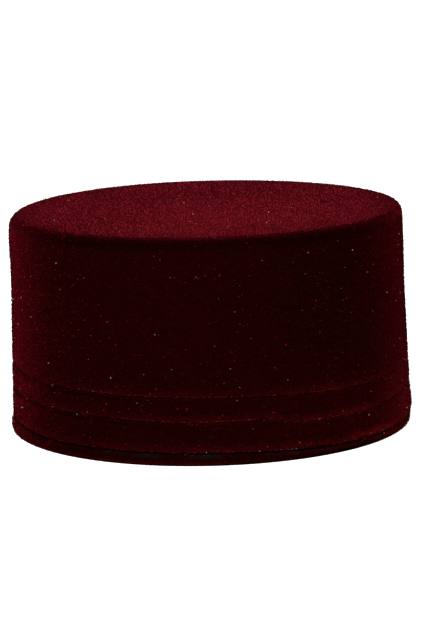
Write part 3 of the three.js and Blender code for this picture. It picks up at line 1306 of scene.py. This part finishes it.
@dataclass
class Pile:
    """The velvet's tufts, as short three-sided spikes that geometry nodes plant on its outside."""

    per_square_metre: float = 700000.0
    width: float = 0.34
    shortest: float = 0.45
    longest: float = 0.95
    sink: float = 0.12
    nap: tuple[float, float, float] = (0.0, 0.0, -0.35)
    spread: float = 0.55
    rarity: float = 56.0
    tilt: float = 0.42
    clump_tilt: float = 2.4
    clumps_per_metre: float = 620.0
    lowest_rise: float = -0.6
    highest_rise: float = ANY_RISE
    seed: int = 3
    tip_seed: int = 100

    def tree(self) -> GrowingTree:
        """Builds the tree that plants tufts on a surface, each with its lustre and its shading.

        Returns:
            The tree, with named inputs.
        """
        grower = GrowingTree("pile")
        shares = "density spread rarity tilt clump_tilt clump_scale lowest_rise highest_rise"
        given = grower.inputs("width shortest longest sink " + shares, nap="Vector")
        strewn = grower.strew(given.density, given.seed, given.lowest_rise, given.highest_rise)
        normal = strewn.outputs["Normal"]
        corner, opposite = (-1.0, -1.0, -1.0), (1.0, 1.0, 1.0)
        ruffled = grower.vector("SCALE", grower.random(corner, opposite, given.seed), given.spread)
        upright = grower.vector("ADD", normal, grower.vector("ADD", ruffled, given.nap))
        turn = grower.node("FunctionNodeAlignRotationToVector", {"axis": "Z"}, {"Vector": upright})
        length = grower.random(given.shortest, given.longest, given.seed)
        size = grower.node("ShaderNodeCombineXYZ", {}, {0: given.width, 1: given.width, 2: length})
        cone = {"Vertices": 3, "Radius Top": 0.0, "Radius Bottom": 0.5, "Depth": 1.0}
        spike = grower.node("GeometryNodeMeshCone", {"fill_type": "NGON"}, cone)
        rooted = grower.moved(strewn, normal, grower.number("MULTIPLY", given.sink, -1.0))
        planted = grower.plant(rooted, spike, turn, size)
        # Lustre picks the tufts that take the painted glint colour.
        lustre = grower.number("POWER", grower.random(0.0, 1.0, given.seed), given.rarity)
        tip = grower.random(corner, opposite, grower.number("ADD", given.seed, self.tip_seed))
        tipped = grower.vector("ADD", normal, grower.vector("SCALE", tip, given.tilt))
        root = grower.node("GeometryNodeInputPosition", {}, {})
        spots = {"Vector": root, "Scale": given.clump_scale, "Detail": 1.0}
        clump = grower.node("ShaderNodeTexNoise", {}, spots).outputs["Color"]
        leaned = grower.vector("SCALE", grower.vector("SUBTRACT", clump, (0.5, 0.5, 0.5)), given.clump_tilt)
        marked = grower.mark(planted, "lustre", "FLOAT", lustre)
        facing = grower.mark(marked, "facing", "FLOAT_VECTOR", grower.vector("ADD", tipped, leaned))
        grower.end(facing, given.material)
        return grower

    def build(self, name: str, velvet: Object, finish: Material) -> Object:
        """Plants the tufts.

        Args:
            name: Name of the tufts' object.
            velvet: The piece they grow from.
            finish: Finish of the tufts.

        Returns:
            The tufts' object.
        """
        lengths = {key: getattr(self, key) for key in ("width", "shortest", "longest", "sink")}
        same = ("nap", "spread", "rarity", "tilt", "clump_tilt", "lowest_rise", "highest_rise", "seed")
        others = {key: getattr(self, key) for key in same}
        others |= {"density": self.per_square_metre, "clump_scale": self.clumps_per_metre}
        tufts = self.tree().grow(name, velvet, lengths, material=finish, **others)
        self._face_as_cloth(tufts.data)
        return tufts

    @staticmethod
    def _face_as_cloth(mesh: Mesh) -> None:
        """Gives each tuft the cloth's own normal, a little tipped, so that the pile shades as one.

        Args:
            mesh: The tufts, whose attribute "facing" holds that normal.
        """
        facing = np.empty(len(mesh.vertices) * 3, dtype=np.float32)
        mesh.attributes["facing"].data.foreach_get("vector", facing)
        normals = facing.reshape(-1, 3)
        normals /= np.linalg.norm(normals, axis=1)[:, None]
        mesh.normals_split_custom_set_from_vertices(normals.tolist())
        mesh.attributes.remove(mesh.attributes["facing"])


@dataclass
class LintSpecks:
    """Specks of lint strewn over the velvet by geometry nodes."""

    per_square_metre: float = 30000.0
    smallest: float = 0.12
    largest: float = 0.90
    lift: float = 0.85
    rarity: float = 8.0
    lowest_rise: float = -0.5
    shape: tuple[float, float, float] = (1.0, 0.55, 0.45)
    whole_turn: float = 6.28
    seed: int = 5

    def tree(self) -> GrowingTree:
        """Builds the tree that strews specks over a surface.

        Returns:
            The tree, with named inputs.
        """
        grower = GrowingTree("lint")
        given = grower.inputs("density smallest largest lift rarity")
        strewn = grower.strew(given.density, given.seed, self.lowest_rise, ANY_RISE)
        speck = grower.node("GeometryNodeMeshIcoSphere", {}, {"Radius": 0.5, "Subdivisions": 1})
        spin = grower.random((0.0, 0.0, 0.0), (self.whole_turn,) * 3, given.seed)
        rare = grower.number("POWER", grower.random(0.0, 1.0, given.seed), given.rarity)
        lifted = grower.moved(strewn, strewn.outputs["Normal"], given.lift)
        ends = {"Value": rare, "To Min": given.smallest, "To Max": given.largest}
        size = grower.vector("SCALE", self.shape, grower.node("ShaderNodeMapRange", {}, ends))
        grower.end(grower.plant(lifted, speck, spin, size), given.material)
        return grower

    def build(self, velvets: Sequence[Object], shares: Sequence[float], lint: Material) -> list[Object]:
        """Strews the specks.

        Args:
            velvets: The pieces they lie on.
            shares: How thickly they lie on each piece, 1 for the full density.
            lint: Finish of the specks.

        Returns:
            One object of specks for each piece.
        """
        grower = self.tree()
        lengths = {"smallest": self.smallest, "largest": self.largest, "lift": self.lift}
        made = []
        for number, (velvet, share) in enumerate(zip(velvets, shares)):
            others = {"density": self.per_square_metre * share, "rarity": self.rarity, "material": lint}
            name = f"lint_on_{velvet.name}"
            made.append(grower.grow(name, velvet, lengths, seed=self.seed + number, **others))
        return made


# The studio


@dataclass(frozen=True)
class PhotoCamera:
    """A camera at the photo's place, fitted to the outline of the hat."""

    distance: float = 1.3735
    elevation: float = 10.67
    roll: float = -1.48
    aim_right: float = 0.59
    aim_up: float = -0.53
    focal_pixels: float = 2881.4
    picture_height: int = 631
    sensor: float = 36.0
    farthest: float = 20.0

    def place(self, middle: Vector) -> Object:
        """Puts the camera in the scene.

        Args:
            middle: The middle of the hat, in metres.

        Returns:
            The camera.
        """
        rise = math.radians(self.elevation)
        eye = middle + Vector((0.0, -self.distance * math.cos(rise), self.distance * math.sin(rise)))
        aim = middle + Vector((self.aim_right * MM, 0.0, self.aim_up * MM))
        ahead = (aim - eye).normalized()
        right = ahead.cross(Vector((0.0, 0.0, 1.0))).normalized()
        up = right.cross(ahead)
        turn = math.radians(self.roll)
        level = right * math.cos(turn) + up * math.sin(turn)
        tall = up * math.cos(turn) - right * math.sin(turn)
        data = bpy.data.cameras.new("photo_camera")
        data.sensor_width = self.sensor
        data.lens = self.focal_pixels / self.picture_height * self.sensor
        data.clip_end = self.farthest
        camera = linked("photo_camera", data)
        camera.matrix_world = Matrix.Translation(eye) @ Matrix((level, tall, -ahead)).transposed().to_4x4()
        bpy.context.scene.camera = camera
        return camera


@dataclass(frozen=True)
class Softbox:
    """A soft studio light, aimed at the hat."""

    name: str
    place: tuple[float, float, float]
    size: tuple[float, float]
    power: float

    def hang(self, aim: Vector) -> Object:
        """Puts the light in the scene.

        Args:
            aim: The point that it is aimed at, in metres.

        Returns:
            The light.
        """
        data = bpy.data.lights.new(self.name, "AREA")
        data.shape = "RECTANGLE"
        data.size, data.size_y = self.size
        data.energy = self.power
        light = linked(self.name, data)
        light.location = self.place
        light.rotation_euler = (aim - Vector(self.place)).to_track_quat("-Z", "Y").to_euler()
        return light


@dataclass(frozen=True)
class Studio:
    """A pale floor, soft lights and the camera."""

    floor_size: float = 16.0
    floor_colour: Colour = (0.86, 0.86, 0.86, 1.0)
    floor_glow: float = 1.0
    floor_drop: float = 0.02
    floor_grain: float = 40.0
    floor_depth: float = 0.01
    white: Colour = (1.0, 1.0, 1.0, 1.0)
    sky: float = 0.015
    softboxes: tuple[Softbox, ...] = (
        Softbox("front_softbox", (-0.15, -0.9, 1.35), (0.9, 0.8), 31.0),
        Softbox("left_softbox", (-1.1, 0.75, 0.3), (0.6, 0.8), 6.0),
        Softbox("right_softbox", (1.1, 0.75, 0.3), (0.6, 0.8), 5.0),
    )

    def build(self, middle: Vector) -> None:
        """Sets up the floor, the lights, the camera and how the picture is developed.

        Args:
            middle: The middle of the hat, in metres.
        """
        PhotoCamera().place(middle)
        for softbox in self.softboxes:
            softbox.hang(middle)
        self._floor()
        world = bpy.data.worlds.new("pale_room")
        world.use_nodes = True
        background = world.node_tree.nodes["Background"]
        background.inputs["Color"].default_value = self.white
        background.inputs["Strength"].default_value = self.sky
        bpy.context.scene.world = world
        bpy.context.scene.view_settings.view_transform = "Standard"

    def _floor(self) -> None:
        """Lays the floor just under the rim."""
        half = self.floor_size / 2.0
        low = CAD_BOX[0].z - self.floor_drop * MM
        mesh = bpy.data.meshes.new("floor")
        corners = [(-half, -half, low), (half, -half, low), (half, half, low), (-half, half, low)]
        mesh.from_pydata(corners, [], [(0, 1, 2, 3)])
        shader = Shader("pale_floor")
        surface = {
            "Base Color": self.floor_colour,
            "Roughness": 0.9,
            "Specular IOR Level": 0.1,
            "Emission Color": self.white,
            "Emission Strength": self.floor_glow,
        }
        mesh.materials.append(shader.finish(surface, shader.noise(self.floor_grain), self.floor_depth * MM))
        floor = linked("floor", mesh)
        floor.visible_diffuse = False
        floor.visible_glossy = False


def seat(piece: Object, slot: str, *nodes: str) -> None:
    """Makes a piece ride on the hat, in place of CAD nodes if any are named.

    Args:
        piece: The finished piece.
        slot: Name of a slot for its finish; not used.
        nodes: The CAD nodes that it stands for.
    """
    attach(piece, BODY)
    if nodes:
        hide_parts(*nodes)
    triangles = sum(len(face.vertices) - 2 for face in piece.data.polygons)
    log.info("%s: %d triangles", piece.name, triangles)


def main() -> None:
    """Builds the hat piece by piece, then the studio."""
    logging.basicConfig(level=logging.INFO, format="%(name)s: %(message)s")
    form = HatForm()
    # The crown's glint, on many tufts, paints much of the flat top's brightness as painted sheen and glints.
    crown_finish = Velvet(
        "crown_velvet", glint=(0.49, 0.0253, 0.0443, 1.0), sheen=(0.24, 0.0084, 0.0190, 1.0)
    ).material()
    band_finish = Velvet("band_velvet").material()
    binding_finish = Velvet(
        "binding_velvet",
        deep=(0.0080, 0.0003, 0.0005, 1.0),
        lit=(0.0150, 0.0005, 0.0009, 1.0),
        sheen=(0.20, 0.0052, 0.0115, 1.0),
    ).material()
    backing_finish = Backing("woven_backing").material()
    thread_finish = Thread("sewing_thread").material()
    lint_finish = Lint("lint").material()

    band = SideBand(form)
    crown_piece = CrownTop(form).build(crown_finish, backing_finish)
    band_piece = band.build(band_finish, backing_finish)
    binding_piece = HemBinding(form).build(binding_finish)
    stitches = Stitching(form).build(band, thread_finish)
    crown_top_pile = Pile(
        1300000.0, nap=(0.0, -0.3, 0.0), rarity=3.0, tilt=0.75, clump_tilt=2.2, lowest_rise=0.9
    )
    crown_skirt_pile = Pile(width=0.62, highest_rise=0.9, seed=8)
    band_pile = Pile(width=0.62, seed=4)
    binding_pile = Pile(1000000.0, width=0.5, seed=6)
    piles = [
        crown_top_pile.build("pile_on_crown_top", crown_piece, crown_finish),
        crown_skirt_pile.build("pile_on_crown_skirt", crown_piece, band_finish),
        band_pile.build("pile_on_side_band", band_piece, band_finish),
        binding_pile.build("pile_on_hem_binding", binding_piece, binding_finish),
    ]
    velvets = [crown_piece, band_piece, binding_piece]
    specks = LintSpecks().build(velvets, (0.25, 1.0, 0.6), lint_finish)

    seat(crown_piece, "crown_velvet", "crown_top")
    seat(band_piece, "band_velvet", "side_band")
    seat(binding_piece, "binding_velvet", "hem_binding")
    for piece in stitches:
        seat(piece, "band_velvet")
    for piece, slot in zip(piles, ("crown_velvet", "band_velvet", "band_velvet", "binding_velvet")):
        seat(piece, slot)
    for piece, slot in zip(specks, ("crown_velvet", "band_velvet", "binding_velvet")):
        seat(piece, slot)

    Studio().build((CAD_BOX[0] + CAD_BOX[1]) / 2.0)


if __name__ == "__main__":
    main()
